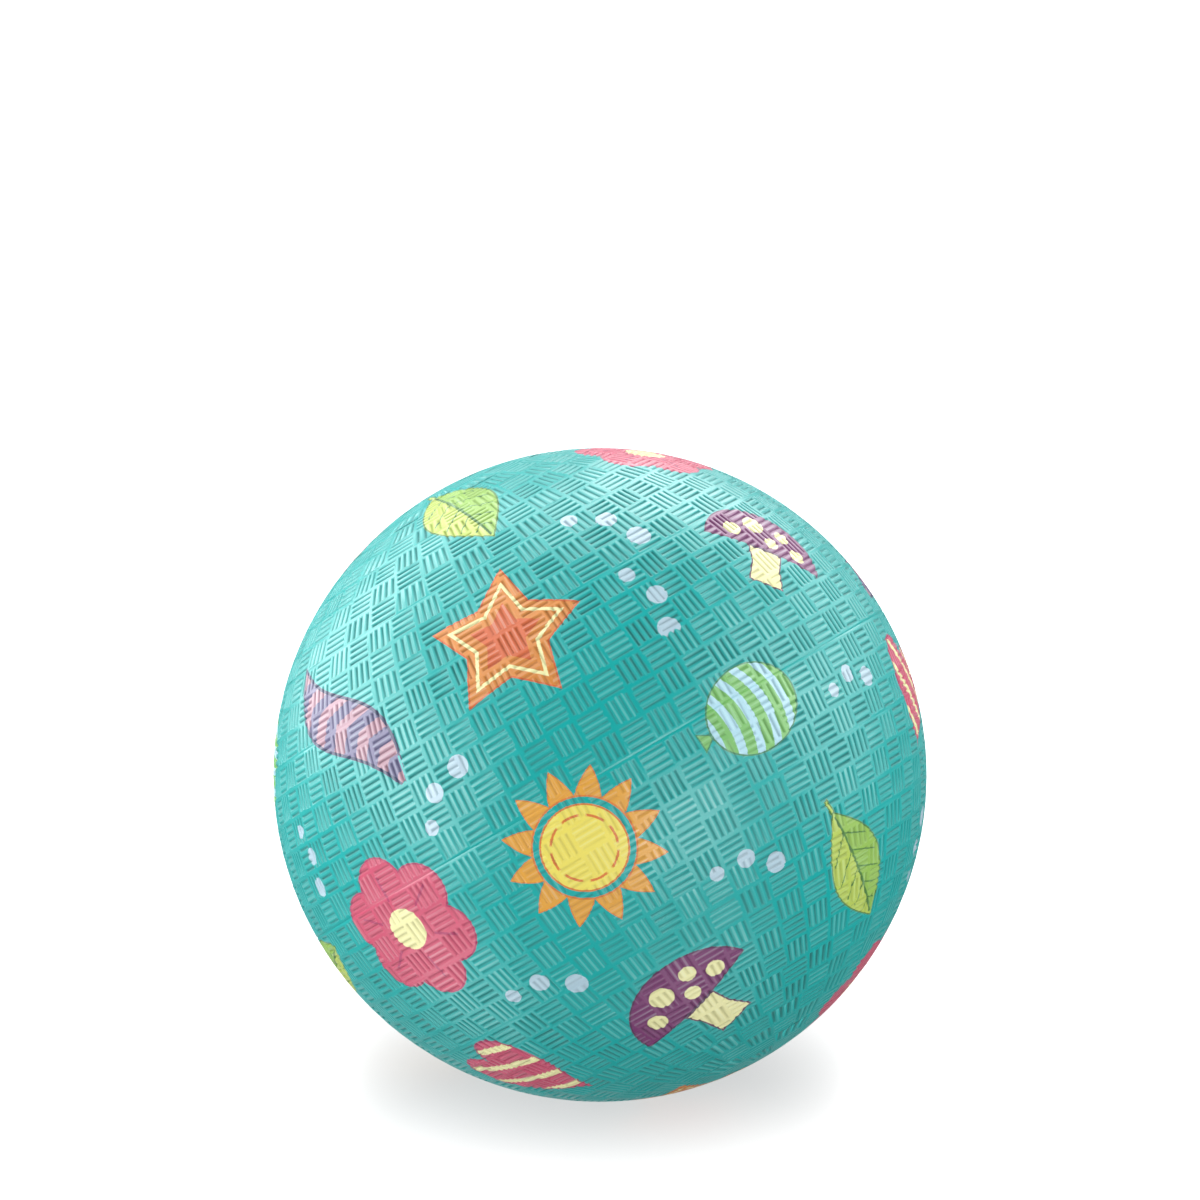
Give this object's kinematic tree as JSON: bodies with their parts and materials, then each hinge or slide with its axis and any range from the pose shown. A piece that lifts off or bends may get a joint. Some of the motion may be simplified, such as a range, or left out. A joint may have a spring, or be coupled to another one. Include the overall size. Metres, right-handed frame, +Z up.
{
  "type": "playground ball",
  "caption": "Hollow rubber play ball with a basket-weave grip texture, a lined wall and a self-sealing valve for an inflating needle.",
  "frame": {"origin": "centre of the ball", "axes": "+Z up as the ball lies in the picture, -Y towards the side the picture shows, +Y out along the needle bore of the valve"},
  "size_m": [0.127, 0.1265, 0.127],
  "materials": {
    "cover": "satin turquoise rubber with a printed pattern",
    "air_liner": "matte black butyl rubber",
    "valve_patch": "rubbered cotton cloth",
    "valve_seat": "satin black moulded rubber",
    "valve_plug": "soft grey rubber"
  },
  "bodies": {
    "root": {"cover": "cover", "air_liner": "air_liner", "valve_patch": "valve_patch", "valve_seat": "valve_seat", "valve_plug": "valve_plug"}
  },
  "joints": []
}
